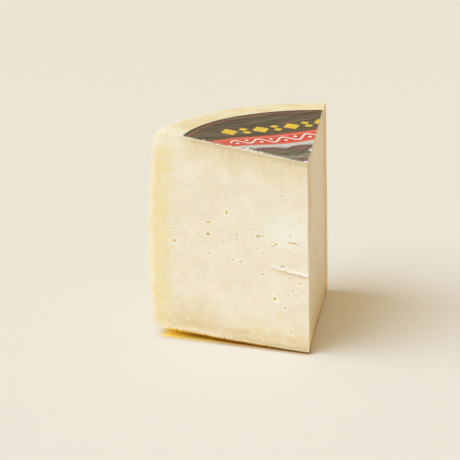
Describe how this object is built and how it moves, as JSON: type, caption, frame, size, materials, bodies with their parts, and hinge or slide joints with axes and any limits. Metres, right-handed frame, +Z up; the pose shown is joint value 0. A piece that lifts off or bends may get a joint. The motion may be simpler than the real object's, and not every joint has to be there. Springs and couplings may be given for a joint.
{
  "type": "cheese wedge",
  "caption": "Tall wedge knife-cut from a pressed cheese wheel, with a dished top, pale rind and its sector of paper label.",
  "frame": {"origin": "under the middle of the bounding box, on the surface that the wedge stands on", "axes": "+Z up along the wheel's axis; +Y from the wedge's point to the middle of its rind; +X across, towards the right-hand cut's rind end"},
  "size_m": [0.0926, 0.0722, 0.0866],
  "materials": {
    "cheese": "pale cream paste with small eyes, pale yellow waxy rind; soft satin",
    "label_paper": "printed coated paper, slightly glossy"
  },
  "bodies": {
    "root": {"cheese_wedge": "cheese", "label": "label_paper"}
  },
  "joints": []
}
